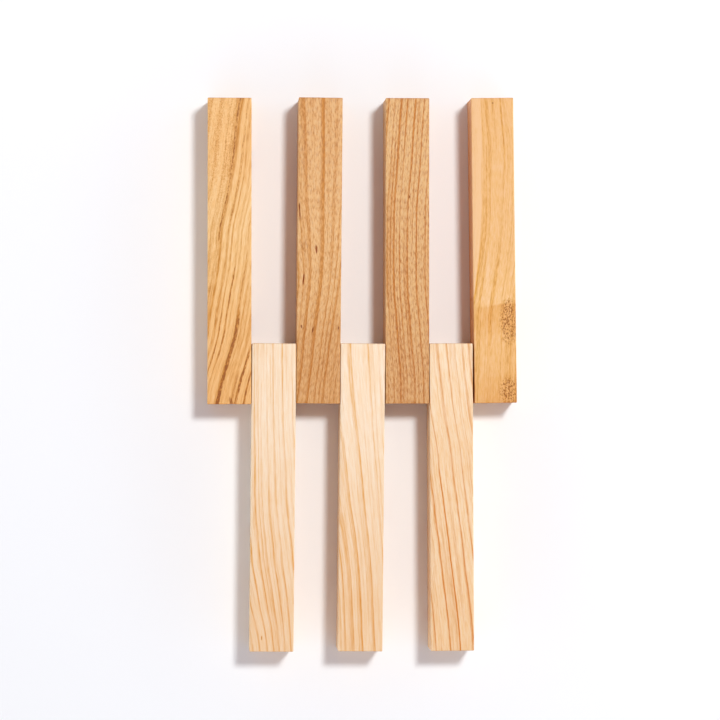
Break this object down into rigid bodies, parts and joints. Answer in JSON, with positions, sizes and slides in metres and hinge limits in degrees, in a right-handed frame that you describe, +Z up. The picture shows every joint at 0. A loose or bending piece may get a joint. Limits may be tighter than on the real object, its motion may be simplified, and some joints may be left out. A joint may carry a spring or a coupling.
{
  "type": "shoe freshening stick set",
  "caption": "Loose square wooden sticks, dark ones meshed with pale ones like fingers, that are put into shoes to dry and freshen them.",
  "frame": {"origin": "on the surface that the sticks lie on, under the middle of the whole set's box", "axes": "+Z up from that surface, +Y along the sticks towards the dark ones, +X across the set to the right of someone who looks down with the dark sticks at the far end"},
  "size_m": [0.1406, 0.2514, 0.02],
  "materials": {
    "dark_hardwood": "planed and sanded, bare, fine reddish brown figure",
    "pale_cypress": "planed and sanded, bare, clear growth rings"
  },
  "bodies": {
    "dark_stick_1": {"dark_stick_1": "dark_hardwood"},
    "dark_stick_2": {"dark_stick_2": "dark_hardwood"},
    "dark_stick_3": {"dark_stick_3": "dark_hardwood"},
    "dark_stick_4": {"dark_stick_4": "dark_hardwood"},
    "pale_stick_1": {"pale_stick_1": "pale_cypress"},
    "pale_stick_2": {"pale_stick_2": "pale_cypress"},
    "pale_stick_3": {"pale_stick_3": "pale_cypress"}
  },
  "joints": [
    {"name": "lift_dark_stick_1", "type": "slide", "parent": "pale_stick_2", "child": "dark_stick_1", "axis": [0, 0, 1], "range_m": [0, 0.04]},
    {"name": "lift_dark_stick_2", "type": "slide", "parent": "pale_stick_2", "child": "dark_stick_2", "axis": [0, 0, 1], "range_m": [0, 0.04]},
    {"name": "lift_dark_stick_3", "type": "slide", "parent": "pale_stick_2", "child": "dark_stick_3", "axis": [0, 0, 1], "range_m": [0, 0.04]},
    {"name": "lift_dark_stick_4", "type": "slide", "parent": "pale_stick_2", "child": "dark_stick_4", "axis": [0, 0, 1], "range_m": [0, 0.04]},
    {"name": "lift_pale_stick_1", "type": "slide", "parent": "pale_stick_2", "child": "pale_stick_1", "axis": [0, 0, 1], "range_m": [0, 0.04]},
    {"name": "lift_pale_stick_3", "type": "slide", "parent": "pale_stick_2", "child": "pale_stick_3", "axis": [0, 0, 1], "range_m": [0, 0.04]}
  ]
}
